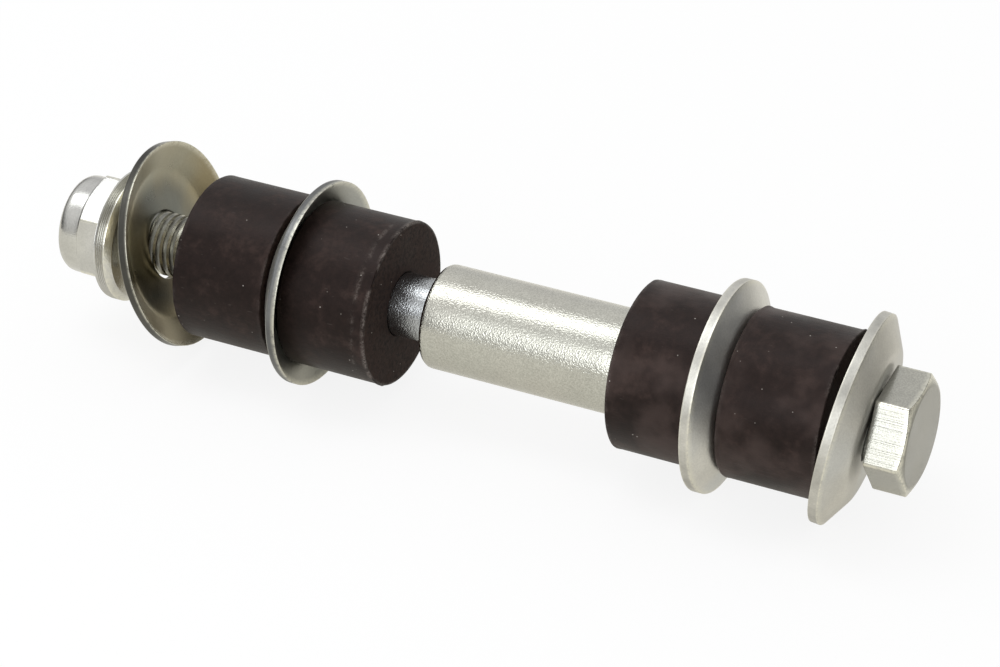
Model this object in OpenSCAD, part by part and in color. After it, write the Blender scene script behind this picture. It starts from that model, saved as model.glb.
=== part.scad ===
// Stabilizer link: a long hex bolt that carries four rubber bushings, four cupped washers and a spacer tube,
// closed by a flanged lock nut. Millimetres. The bolt lies along X with its head at +X, and Z is up.
// The origin is on the bolt's axis, half way along the whole link.

/* [Bolt] */
// Diameter of the plain shank, which is also the thread size
bolt_d = 10; // [8:0.5:11]
// Length of the bolt under its head
bolt_len = 135; // [132:1:150]
// Length of the threaded end
thread_len = 32; // [28:1:36]
// Pitch of the thread, which sets the diameter where bolt and nut meet
thread_pitch = 1.25; // [1:0.25:1.5]
// Chamfer on the tip of the thread
tip_chamfer = 0.8; // [0.4:0.1:1.2]
// Head, across flats
head_af = 16.2; // [15:0.1:19]
// Height of the head
head_h = 6; // [5.5:0.1:8]
// Diameter of the round face under the head and of the flat on top of it
head_face_d = 15; // [13:0.1:15]
// Height of the round face under the head
head_face_h = 0.25; // [0.2:0.05:0.6]
// Slope of the chamfer on the head's corners
head_chamfer = 20; // [15:1:30]
// Angle of the head's corners round the axis
head_turn = 6; // [0:1:60]

/* [Lock nut] */
// Nut, across flats
nut_af = 16; // [15:0.5:18]
// Height of the whole nut
nut_h = 11.5; // [10.5:0.1:13]
// Height at which the hexagon ends and the collar begins
nut_hex_h = 7.6; // [7:0.1:8]
// Flange diameter
flange_d = 21.2; // [20.5:0.1:23]
// Height of the flange's straight edge
flange_edge = 1.95; // [1.5:0.05:2.2]
// Bevel round the face that meets the washer
flange_bevel = 0.95; // [0.6:0.05:1.2]
// Outer diameter of the collar round the nylon ring
collar_d = 15.8; // [15:0.1:15.9]
// Rounding of the collar's outer edge
collar_round = 2.2; // [1.5:0.1:2.4]
// Outer diameter of the nylon ring
insert_d = 12.4; // [12:0.1:12.8]
// Height of the nylon ring
insert_h = 2.1; // [1.6:0.1:2.2]
// Wall that is rolled over the nylon ring
collar_lip = 0.7; // [0.5:0.05:0.9]
// Depth of the bolt's tip inside the collar
tip_depth = 1.4; // [1:0.05:3]
// Angle of the nut's corners round the axis
nut_turn = 24; // [0:1:60]

/* [Cupped washers] */
// Outer diameter
washer_d = 32.5; // [30:0.2:36]
// Sheet thickness
washer_t = 1.5; // [1.4:0.1:2.2]
// Play of the hole on the bolt, on the diameter, which lets the washer lean
washer_play = 1; // [1:0.1:1.6]
// Diameter of the flat floor of the cup
cup_floor_d = 23.2; // [21:0.2:25]
// Depth of the cup
cup_depth = 2.7; // [1.6:0.05:3]
// Radius of the bend between the floor and the flare
cup_bend = 3; // [1.5:0.1:4]
// Rounding that the die leaves on the back edge of the rim
rim_round = 0.3; // [0.1:0.05:0.6]
// Lean of the washer at the nut, with its top towards the nut
nut_washer_lean = 15.4; // [10:0.1:16]
// Direction of that lean, measured from straight up
nut_washer_aim = 15.6; // [0:0.1:30]
// Drop of that washer below the axis
nut_washer_drop = 0.1; // [0:0.05:0.2]
// Lean of the washer at the head, with its top towards the head
head_washer_lean = 8.4; // [5:0.1:9]
// Direction of that lean, measured from straight up towards -Y
head_washer_aim = 18; // [0:0.1:30]
// Drop of that washer below the axis
head_washer_drop = 0.1; // [0:0.05:0.2]

/* [Rubber bushings] */
// Outer diameter
bushing_d = 26; // [24:0.2:30]
// Length of one bushing
bushing_len = 15.5; // [13:0.1:16]
// Rounding of the end edges
bushing_round = 0.4; // [0.2:0.1:1]
// Height of the bevel on an end that sits in a cup, parallel to the cup's flare
seat_bevel = 0.6; // [0.4:0.05:0.9]

/* [Spacer tube] */
// Length
spacer_len = 33.2; // [30:0.1:35]
// Outer diameter
spacer_d = 16.4; // [14:0.2:20]
// Bore clearance over the shank, on the diameter
spacer_play = 0.9; // [0.4:0.1:1.2]
// Drop of the tube below the axis, where it hangs on the shank
spacer_drop = 0.35; // [0:0.05:0.4]
// Rounding of the end edges
spacer_round = 1; // [0.4:0.1:1.4]

/* [Places along the bolt] */
// Clearance between the washer that leans on the head and the bushing below it
head_clear = 0.1; // [0.1:0.05:1.5]
// Clearance between a bushing and the back of the washer beside it
pair_gap = 0.15; // [0.1:0.05:0.6]
// Bare shank between the spacer and the bushing on its nut side
bare_shank = 6.6; // [6:0.1:8]
// Clearance between that bushing and the cup that it hangs in
seat_gap = 0.5; // [0.1:0.05:0.8]

/* [Hidden] */
// Radial clearance where a piece slides or turns on the bolt
run_gap = 0.05;
// Clearance between faces that meet
touch_gap = 0.1;
// Slope of the chamfer on the nut's corners
hex_chamfer = 30;
// Reach of a hexagon's stock past the chamfer that trims it
hex_margin = 1;
// Share of the pitch by which the pitch diameter is below the thread size
pitch_share = 0.6495;
// Straight pieces that stand for one arc of a profile
arc_steps = 6;
// Sides that stand for a circle
$fn = 96;

zinc = [0.76, 0.77, 0.74];
yellow_zinc = [0.66, 0.63, 0.50];
bare_steel = [0.66, 0.69, 0.71];
black_rubber = [0.15, 0.12, 0.11];
natural_nylon = [0.85, 0.85, 0.80];

// Radii
shank_r = bolt_d / 2;
thread_r = (bolt_d - pitch_share * thread_pitch) / 2;
head_corner_r = head_af / 2 / cos(30);
head_face_r = head_face_d / 2;
nut_corner_r = nut_af / 2 / cos(30);
flange_r = flange_d / 2;
flange_seat_r = flange_r - flange_bevel;
collar_r = collar_d / 2;
rim_r = washer_d / 2;
floor_r = cup_floor_d / 2;
bushing_r = bushing_d / 2;
bushing_bore_r = shank_r + run_gap;
spacer_r = spacer_d / 2;
washer_hole_r = (bolt_d + washer_play) / 2;

// The cup's bend and flare, and the height over the cup's floor at which a bevelled bushing sits
flare_angle = atan(cup_depth / (rim_r - floor_r));
bend_start_r = floor_r - cup_bend * tan(flare_angle / 2);
flare_start_r = bend_start_r + cup_bend * sin(flare_angle);
seat_r = bushing_r - seat_bevel / tan(flare_angle);
cup_seat = max(
    touch_gap,
    cup_height(seat_r) + run_gap,
    cup_height(bushing_r) - seat_bevel + run_gap
);

// Places along X, from the head to the nut. A leaning washer touches the head or the flange at its top.
head_end_x = (head_h + bolt_len + tip_depth) / 2;
head_seat_x = head_end_x - head_h;
bolt_tip_x = head_seat_x - bolt_len;
nut_end_x = bolt_tip_x - tip_depth;
nut_seat_x = nut_end_x + nut_h;
head_contact = max(
    head_face_r * tan(head_washer_lean),
    head_corner_r * tan(head_washer_lean) - head_face_h
);
head_washer_x = head_seat_x - head_contact - (washer_t + touch_gap) / cos(head_washer_lean)
    - head_washer_drop * tan(head_washer_lean);
head_lean_reach = max(0, bushing_r - floor_r) * tan(flare_angle) * cos(head_washer_lean)
    + bushing_r * sin(head_washer_lean);
head_outer_bushing_x = head_washer_x - head_lean_reach - head_clear - bushing_len;
head_inner_washer_x = head_outer_bushing_x - pair_gap - washer_t;
head_inner_bushing_x = head_inner_washer_x - cup_seat - bushing_len;
spacer_x = head_inner_bushing_x - touch_gap - spacer_len;
nut_inner_bushing_x = spacer_x - bare_shank - bushing_len;
nut_inner_washer_x = nut_inner_bushing_x - cup_seat - seat_gap;
nut_outer_bushing_x = nut_inner_washer_x - washer_t - pair_gap - bushing_len;
nut_contact = max(
    flange_seat_r * tan(nut_washer_lean),
    flange_r * tan(nut_washer_lean) - flange_bevel
);
nut_washer_x = nut_seat_x + nut_contact + (washer_t + touch_gap) / cos(nut_washer_lean)
    + nut_washer_drop * tan(nut_washer_lean);

// Height of a cup's inside over its floor at radius r
function cup_height(r) =
    r <= bend_start_r ? 0
    : r <= flare_start_r ? cup_bend - sqrt(pow(cup_bend, 2) - pow(r - bend_start_r, 2))
    : (r - floor_r) * tan(flare_angle);

// Points of an arc round (cx, cy) from angle a to angle b
function arc(cx, cy, r, a, b) = [
    for (i = [0 : arc_steps])
        let (t = a + (b - a) * i / arc_steps)
        [cx + r * cos(t), cy + r * sin(t)]
];

// Points of a list in the opposite order
function backwards(points) = [for (i = [len(points) - 1 : -1 : 0]) points[i]];

// Turns a profile of [radius, x] points round the X axis
module turned(points) {
    rotate([0, 90, 0])
        rotate_extrude()
            polygon([for (p = points) [p[0], p[1]]]);
}

// Cylinder along +X from x
module rod(x, length, r) {
    translate([x, 0, 0])
        rotate([0, 90, 0])
            cylinder(h = length, r = r);
}

// Hexagonal bar along +X from x, with its corners turned round the axis and cut back to face_r at its far end
module chamfered_hex(x, length, corner_r, face_r, slope, turn) {
    reach = corner_r + hex_margin;
    end_x = x + length;
    intersection() {
        translate([x, 0, 0])
            rotate([turn, 0, 0])
                rotate([0, 90, 0])
                    rotate([0, 0, 90])
                        cylinder(h = length + hex_margin, r = corner_r, $fn = 6);
        turned([
            [0, x - hex_margin],
            [reach, x - hex_margin],
            [reach, end_x - (reach - face_r) * tan(slope)],
            [face_r, end_x],
            [0, end_x]
        ]);
    }
}

// Bolt with a chamfered hexagon head on a round face, a plain shank and a threaded end
module hex_bolt() {
    run_out = shank_r - thread_r;
    thread_x = bolt_tip_x + thread_len;
    hex_x = head_seat_x + head_face_h;
    color(bare_steel) {
        chamfered_hex(hex_x, head_h - head_face_h, head_corner_r, head_face_r, head_chamfer, head_turn);
        turned([
            [0, bolt_tip_x],
            [thread_r - tip_chamfer, bolt_tip_x],
            [thread_r, bolt_tip_x + tip_chamfer],
            [thread_r, thread_x - run_out],
            [shank_r, thread_x],
            [shank_r, head_seat_x],
            [head_face_r, head_seat_x],
            [head_face_r, hex_x + head_face_h],
            [0, hex_x + head_face_h]
        ]);
    }
}

// Flanged nut with a hexagon and a round collar that is rolled over the nylon ring
module lock_nut() {
    flange_top = flange_bevel + flange_edge;
    bore_r = thread_r + run_gap;
    pocket_r = insert_d / 2 + run_gap;
    pocket_top = nut_h - collar_lip;
    mouth_r = shank_r + run_gap;
    color(zinc)
        translate([nut_seat_x, 0, 0])
            mirror([1, 0, 0])
                difference() {
                    union() {
                        turned([
                            [0, 0],
                            [flange_seat_r, 0],
                            [flange_r, flange_bevel],
                            [flange_r, flange_top],
                            [0, flange_top]
                        ]);
                        chamfered_hex(
                            flange_bevel, nut_hex_h - flange_bevel,
                            nut_corner_r, collar_r, hex_chamfer, nut_turn
                        );
                        turned(concat(
                            [[0, flange_bevel], [collar_r, flange_bevel]],
                            arc(collar_r - collar_round, nut_h - collar_round, collar_round, 0, 90),
                            [[0, nut_h]]
                        ));
                    }
                    rod(-touch_gap, pocket_top, bore_r);
                    rod(pocket_top - insert_h - touch_gap, insert_h + touch_gap, pocket_r);
                    rod(pocket_top - touch_gap, collar_lip + 2 * touch_gap, mouth_r);
                }
}

// Nylon ring in the nut's collar
module nylon_insert() {
    color(natural_nylon)
        difference() {
            rod(nut_end_x + collar_lip, insert_h, insert_d / 2);
            rod(nut_end_x, nut_h, thread_r + run_gap);
        }
}

// Cupped washer that opens towards +X, with the floor of its cup at x = 0
module cup_washer() {
    round_r = rim_r - rim_round;
    round_x = cup_depth - washer_t - rim_round * tan(flare_angle) + rim_round / cos(flare_angle);
    inside = concat(
        [[washer_hole_r, 0]],
        arc(bend_start_r, cup_bend, cup_bend, -90, flare_angle - 90)
    );
    outside = [for (p = backwards(inside)) [p[0], p[1] - washer_t]];
    turned(concat(
        inside,
        [[rim_r, cup_depth]],
        arc(round_r, round_x, rim_round, 0, flare_angle - 90),
        outside
    ));
}

// Loose washer that leans against the nut's flange
module nut_side_outer_washer() {
    color(yellow_zinc)
        translate([nut_washer_x, 0, -nut_washer_drop])
            rotate([-nut_washer_aim, 0, 0])
                rotate([0, -nut_washer_lean, 0])
                    cup_washer();
}

// Washer between the two bushings on the nut's side, cupped towards the spacer
module nut_side_inner_washer() {
    color(zinc)
        translate([nut_inner_washer_x, 0, 0])
            cup_washer();
}

// Washer between the two bushings on the head's side, cupped towards the spacer
module head_side_inner_washer() {
    color(zinc)
        translate([head_inner_washer_x, 0, 0])
            mirror([1, 0, 0])
                cup_washer();
}

// Loose washer that leans against the bolt's head
module head_side_outer_washer() {
    color(zinc)
        translate([head_washer_x, 0, -head_washer_drop])
            rotate([head_washer_aim, 0, 0])
                rotate([0, head_washer_lean, 0])
                    mirror([1, 0, 0])
                        cup_washer();
}

// Rubber bushing with rounded ends, along +X from its end at x = 0
module bushing() {
    edge_r = bushing_r - bushing_round;
    turned(concat(
        [[bushing_bore_r, bushing_len], [bushing_bore_r, 0]],
        arc(edge_r, bushing_round, bushing_round, -90, 0),
        arc(edge_r, bushing_len - bushing_round, bushing_round, 0, 90)
    ));
}

// Rubber bushing whose end at x = 0 is bevelled to sit in a cup
module seated_bushing() {
    edge_r = bushing_r - bushing_round;
    turned(concat(
        [[bushing_bore_r, bushing_len], [bushing_bore_r, 0], [seat_r, 0], [bushing_r, seat_bevel]],
        arc(edge_r, bushing_len - bushing_round, bushing_round, 0, 90)
    ));
}

// Bushing between the loose washer and the first cup
module nut_side_outer_bushing() {
    color(black_rubber)
        translate([nut_outer_bushing_x, 0, 0])
            bushing();
}

// Bushing that sits in the cup on the nut's side
module nut_side_inner_bushing() {
    color(black_rubber)
        translate([nut_inner_bushing_x, 0, 0])
            seated_bushing();
}

// Bushing that sits in the cup on the head's side
module head_side_inner_bushing() {
    color(black_rubber)
        translate([head_inner_bushing_x + bushing_len, 0, 0])
            mirror([1, 0, 0])
                seated_bushing();
}

// Bushing between that cup and the washer at the head
module head_side_outer_bushing() {
    color(black_rubber)
        translate([head_outer_bushing_x, 0, 0])
            bushing();
}

// Tube that turns freely on the shank and keeps the two pairs of bushings apart
module spacer_tube() {
    bore_r = (bolt_d + spacer_play) / 2;
    edge_r = spacer_r - spacer_round;
    color(zinc)
        translate([spacer_x, 0, -spacer_drop])
            turned(concat(
                [[bore_r, spacer_len], [bore_r, 0]],
                arc(edge_r, spacer_round, spacer_round, -90, 0),
                arc(edge_r, spacer_len - spacer_round, spacer_round, 0, 90)
            ));
}

hex_bolt();
lock_nut();
nylon_insert();
nut_side_outer_washer();
nut_side_outer_bushing();
nut_side_inner_washer();
nut_side_inner_bushing();
spacer_tube();
head_side_inner_bushing();
head_side_inner_washer();
head_side_outer_bushing();
head_side_outer_washer();
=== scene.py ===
# %% [markdown]
# A stabilizer link, dressed for the camera
#
# A stabilizer link ties a car's anti-roll bar to its suspension arm. This one is a long bolt that carries
# four rubber bushings, four cupped washers and a spacer tube, with a flanged lock nut on its end.
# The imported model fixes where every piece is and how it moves. This script gives each piece the shape and
# finish that a plain solid lacks: thread, rounded edges, plating, moulding marks and wear.

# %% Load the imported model
import math
from collections import namedtuple

import bmesh
import bpy
import numpy as np
from mathutils import Matrix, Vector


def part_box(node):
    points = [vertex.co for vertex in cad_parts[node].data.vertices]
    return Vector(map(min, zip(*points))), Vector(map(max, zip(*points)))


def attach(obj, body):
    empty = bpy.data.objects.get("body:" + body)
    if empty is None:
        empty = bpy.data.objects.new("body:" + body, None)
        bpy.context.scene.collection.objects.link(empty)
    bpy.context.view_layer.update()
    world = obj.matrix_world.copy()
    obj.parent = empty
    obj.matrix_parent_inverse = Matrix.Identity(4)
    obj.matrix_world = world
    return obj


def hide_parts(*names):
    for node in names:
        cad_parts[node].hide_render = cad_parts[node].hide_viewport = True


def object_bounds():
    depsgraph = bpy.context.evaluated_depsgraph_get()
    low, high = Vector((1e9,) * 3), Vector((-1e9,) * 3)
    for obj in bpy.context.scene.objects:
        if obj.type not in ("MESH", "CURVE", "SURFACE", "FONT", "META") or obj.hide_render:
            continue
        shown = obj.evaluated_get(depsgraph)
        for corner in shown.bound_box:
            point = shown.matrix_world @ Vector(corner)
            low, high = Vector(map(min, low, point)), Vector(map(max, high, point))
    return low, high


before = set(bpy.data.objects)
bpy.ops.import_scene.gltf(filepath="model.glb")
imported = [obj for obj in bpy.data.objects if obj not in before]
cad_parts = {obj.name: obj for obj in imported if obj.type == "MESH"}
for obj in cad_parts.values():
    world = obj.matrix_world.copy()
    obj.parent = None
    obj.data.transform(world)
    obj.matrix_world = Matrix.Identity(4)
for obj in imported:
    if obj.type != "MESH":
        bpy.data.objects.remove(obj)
first_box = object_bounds()
scene = bpy.context.scene
print("nodes:", sorted(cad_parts))

# %% [markdown]
# Sizes
#
# The drawing is in millimetres and Blender's unit is the metre, so one factor turns one into the other.
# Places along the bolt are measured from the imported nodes, so a new pack moves these pieces with it.

# %% Measure the nodes
MM = 0.001


def span(node):
    """First and last place of a node along the bolt, in millimetres."""
    low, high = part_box(node)
    return low.x / MM, high.x / MM


BOLT_TIP, HEAD_END = span("hex_bolt")
NUT_END, NUT_SEAT = span("lock_nut")
SHANK_R = 5.0
HEAD_H = 6.0
HEAD_SEAT = HEAD_END - HEAD_H
print(f"bolt {BOLT_TIP:.2f} to {HEAD_END:.2f} mm, nut {NUT_END:.2f} to {NUT_SEAT:.2f} mm")

# %% [markdown]
# Skins made of rings
#
# Every piece of the link is turned or nearly so: its outline goes round the bolt's axis. Blender's Screw
# modifier can turn one outline, but a hexagon's outline changes with the angle, and so does a ragged rubber
# edge. So each piece states its corners for any angle. They are rounded off, the outlines are set side by
# side round the axis, and neighbouring points are joined with faces.

# %% Corners, outlines and rings
Corner = namedtuple("Corner", "x radius arc cuts", defaults=(0.0, 0))
ARC_STEPS = 4
ARC_SHARE = 0.48


def rounded(corners):
    """Points of an outline: an arc of that radius at each corner, and cuts in the straight run after it."""
    spots = np.array([(corner.x, corner.radius) for corner in corners])
    runs = np.roll(spots, -1, 0) - spots
    lengths = np.linalg.norm(runs, axis=1)
    ways = runs / lengths[:, None]
    reaches = []
    for i, corner in enumerate(corners):
        half = math.acos(np.clip(-ways[i - 1] @ ways[i], -1, 1)) / 2
        room = ARC_SHARE * min(lengths[i - 1], lengths[i])
        reaches.append(min(corner.arc / math.tan(half), room))
    points = []
    for i, corner in enumerate(corners):
        for step in np.linspace(0, 1, ARC_STEPS + 1) if corner.arc else [1.0]:
            bow = step ** 2 * ways[i] - (1 - step) ** 2 * ways[i - 1]
            points.append(spots[i] + reaches[i] * bow)
        straight = lengths[i] - reaches[i] - reaches[(i + 1) % len(corners)]
        for step in range(1, corner.cuts + 1):
            points.append(spots[i] + (reaches[i] + straight * step / (corner.cuts + 1)) * ways[i])
    return np.array(points)


def rings(outline, sides):
    """Points [along the outline, round the axis, (x, y, z)] in millimetres, and their angles."""
    angles = np.linspace(0, 2 * math.pi, sides, endpoint=False)
    flat = np.array([rounded(outline(a)) for a in angles])
    x, r = flat[..., 0].T, flat[..., 1].T
    return np.stack([x, r * np.cos(angles), r * np.sin(angles)], -1), angles


# %% [markdown]
# From rings to a piece
#
# The points keep a copy of their place before the piece is leaned or shifted, in an attribute called
# turned. Materials read it, so that lathe lines and scratches follow a washer that leans. A second
# attribute, edge, rises to 1 at outer edges, where plating is polished and a highlight is painted on it,
# and where rubber is scuffed.

# %% Build, place and register a piece
SEAM = 1e-7
SHARP_DEG = 32


def finish_mesh(mesh):
    """Closes seams, points faces outwards and marks the sharp edges."""
    work = bmesh.new()
    work.from_mesh(mesh)
    bmesh.ops.remove_doubles(work, verts=work.verts, dist=SEAM)
    bmesh.ops.recalc_face_normals(work, faces=work.faces)
    open_edges = sum(not e.is_manifold for e in work.edges)
    volume = work.calc_volume(signed=True) / MM ** 3
    work.to_mesh(mesh)
    work.free()
    mesh.shade_smooth()
    mesh.set_sharp_from_angle(angle=math.radians(SHARP_DEG))
    print(f"{mesh.name}: {len(mesh.polygons)} faces, {open_edges} open edges, {volume:.0f} mm3")


def skin(name, points, edge, closed, place=Matrix()):
    """Mesh from rings of points; closed joins the last ring to the first, for a piece with a bore."""
    rows, sides = points.shape[:2]
    order = np.arange(rows * sides).reshape(rows, sides)
    upper = np.roll(order, -1, 0) if closed else order[1:]
    lower = order if closed else order[:-1]
    faces = np.stack([lower, upper, np.roll(upper, -1, 1), np.roll(lower, -1, 1)], -1).reshape(-1, 4)
    flat = points.reshape(-1, 3) * MM
    mesh = bpy.data.meshes.new(name)
    mesh.from_pydata(flat.tolist(), [], faces.tolist())
    turned = mesh.attributes.new("turned", "FLOAT_VECTOR", "POINT")
    turned.data.foreach_set("vector", flat.ravel())
    worn = mesh.attributes.new("edge", "FLOAT", "POINT")
    worn.data.foreach_set("value", np.asarray(edge, float).ravel())
    finish_mesh(mesh)
    mesh.transform(place)
    return mesh


def register(mesh, finish, body, node=None):
    """Puts a mesh in the scene as a piece of a body, in place of a CAD node."""
    piece = bpy.data.objects.new(mesh.name, mesh)
    scene.collection.objects.link(piece)
    mesh.materials.clear()
    mesh.materials.append(finish)
    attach(piece, body)
    if node:
        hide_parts(node)


# %% [markdown]
# Node helpers
#
# A finish is a small graph of shader nodes. One helper adds a node and sets or links its inputs. A few
# more name the sums that come up most, so that every finish below reads as a recipe.

# %% Add nodes


def add(tree, kind, inputs=None, **options):
    """New node; an input given as a socket is linked, and any other value is set."""
    made = tree.nodes.new(kind)
    for name, value in options.items():
        setattr(made, name, value)
    for key, value in (inputs or {}).items():
        if isinstance(value, bpy.types.NodeSocket):
            tree.links.new(value, made.inputs[key])
        else:
            made.inputs[key].default_value = value
    return made


def math_node(tree, operation, a, b=0.0, clamp=False):
    """Result of one sum; clamp keeps it between 0 and 1."""
    return add(tree, "ShaderNodeMath", {0: a, 1: b}, operation=operation, use_clamp=clamp).outputs[0]


def times(tree, a, b):
    return math_node(tree, "MULTIPLY", a, b)


def plus(tree, a, b, clamp=False):
    return math_node(tree, "ADD", a, b, clamp)


def minus(tree, a, b, clamp=False):
    return math_node(tree, "SUBTRACT", a, b, clamp)


def larger(tree, a, b):
    return math_node(tree, "MAXIMUM", a, b)


# %% [markdown]
# Patterns
#
# Real surfaces vary at many sizes at once: clouds, grain, dots and scratches. A painted image would need
# an unwrapped mesh and has one resolution. Noise needs only each point's place, so it is used here.

# %% Noise, bands, dots and bumps


def ramp(tree, fac, *stops):
    """Colour ramp; each stop is (position, colour)."""
    made = add(tree, "ShaderNodeValToRGB", {0: fac})
    elements = made.color_ramp.elements
    while len(elements) < len(stops):
        elements.new(0.5)
    for element, (position, colour) in zip(elements, stops):
        element.position = position
        element.color = (*colour, 1) if len(colour) == 3 else colour
    return made.outputs[0]


def band(tree, value, low, high):
    """0 at low, 1 at high, smooth between."""
    made = add(tree, "ShaderNodeMapRange", {0: value, 1: low, 2: high}, interpolation_type="SMOOTHSTEP")
    return made.outputs[0]


def noise(tree, where, scale, detail=3.0, rough=0.55):
    """Noise of about 0 to 1; scale is how many waves there are in a millimetre."""
    made = add(tree, "ShaderNodeTexNoise",
               {"Vector": where, "Scale": scale, "Detail": detail, "Roughness": rough})
    return made.outputs[0]


def mix(tree, fac, a, b, blend="MIX"):
    """Colour a, covered by colour b where fac is 1."""
    made = add(tree, "ShaderNodeMix", {0: fac, 6: a, 7: b}, data_type="RGBA", blend_type=blend)
    return made.outputs[2]


def grey(level):
    return (level, level, level, 1.0)


def scaled(tree, where, factors):
    """Place with each axis stretched by its own factor."""
    return add(tree, "ShaderNodeVectorMath", {0: where, 1: factors}, operation="MULTIPLY").outputs[0]


def dots(tree, where, scale, size, share, channel):
    """1 in scattered dots; size is the radii, in cells, between which a dot fades out.

    share is how many cells have a dot, and channel the part of a cell's random colour that decides it.
    """
    cell = add(tree, "ShaderNodeTexVoronoi", {"Vector": where, "Scale": scale})
    chance = add(tree, "ShaderNodeSeparateColor", {0: cell.outputs["Color"]}).outputs[channel]
    near = minus(tree, 1.0, band(tree, cell.outputs["Distance"], *size))
    return times(tree, near, math_node(tree, "GREATER_THAN", chance, 1 - share))


def bump(tree, height, depth, below=None):
    """Normal of a bumpy surface; depth is in millimetres, and below is a bump that it lies on."""
    inputs = {"Height": height, "Distance": depth * MM}
    if below is not None:
        inputs["Normal"] = below
    return add(tree, "ShaderNodeBump", inputs).outputs[0]


# %% [markdown]
# Start of a finish
#
# Every finish starts with Blender's Principled shader, the place on the unleaned piece and the edge value.
# The pieces are round, so the distance from the axis is often needed too.

# %% Start a finish


def axial(tree, where):
    """Place along the axis, distance from it, and height."""
    along, across, height = add(tree, "ShaderNodeSeparateXYZ", {0: where}).outputs
    flat = add(tree, "ShaderNodeCombineXYZ", {1: across, 2: height}).outputs[0]
    radius = add(tree, "ShaderNodeVectorMath", {0: flat}, operation="LENGTH").outputs["Value"]
    return along, radius, height


def start_finish(name):
    """New material with its shader, its place in millimetres on the unleaned piece, and its edge value."""
    print("finish:", name)
    made = bpy.data.materials.new(name)
    made.use_nodes = True
    tree = made.node_tree
    shader = tree.nodes["Principled BSDF"]
    turned = add(tree, "ShaderNodeAttribute", attribute_name="turned").outputs["Vector"]
    where = add(tree, "ShaderNodeVectorMath", {0: turned, "Scale": 1 / MM}, operation="SCALE").outputs[0]
    edge = add(tree, "ShaderNodeAttribute", attribute_name="edge").outputs["Fac"]
    return made, tree, shader, where, edge


# %% [markdown]
# Plated steel
#
# Zinc plating is a thin grey-white metal skin. Close up it has a fine crystal grain that sparkles, cloudy
# patches left by the bath, a faint tint from the passivation, small pits, and hairline scratches.
# All of that is noise at different sizes, so one recipe serves each plated piece with other amounts.
# Very fine bumps average out at this distance, so the grain also varies the colour a little.

# %% Plated finish
WORN_EDGE_AND_HIGHLIGHT = (0.80, 0.78, 0.66, 1.0)
PIT = (0.07, 0.065, 0.06, 1.0)
CLOUD_SCALE, PATCH_SCALE, RAGGED_SCALE, PIT_SCALE = 0.16, 0.055, 1.4, 0.42
PATCH_BAND = (0.42, 0.66)
RAGGED_BAND = (0.36, 0.62)
LOWER_SIDE = (-3.0, -11.0)
RIM_ZONE = (16.12, 16.22)
PIT_SIZE = (0.06, 0.13)
SHADE_FROM, SHADE_TO = 0.32, 0.68
ZONE_SPREAD, RIM_SPREAD = 0.14, 0.25
FLECKS, FLECK_LEVEL = 2.5, 0.8
WEAR_AND_HIGHLIGHT, LEAST_WEAR_AND_HIGHLIGHT = 0.75, 0.35
CLOUD_ROUGHNESS, EDGE_POLISH = 0.16, 0.06
FAINT = 0.3
EVEN_LINES = (0.7, 0.7, 0.7)


def shaded(tree, fac, tone, spread):
    """The tone, a share darker and lighter with a noise."""
    dark = [c * (1 - spread) for c in tone]
    light = [min(1.0, c * (1 + spread)) for c in tone]
    return ramp(tree, fac, (SHADE_FROM, dark), (SHADE_TO, light))


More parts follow.
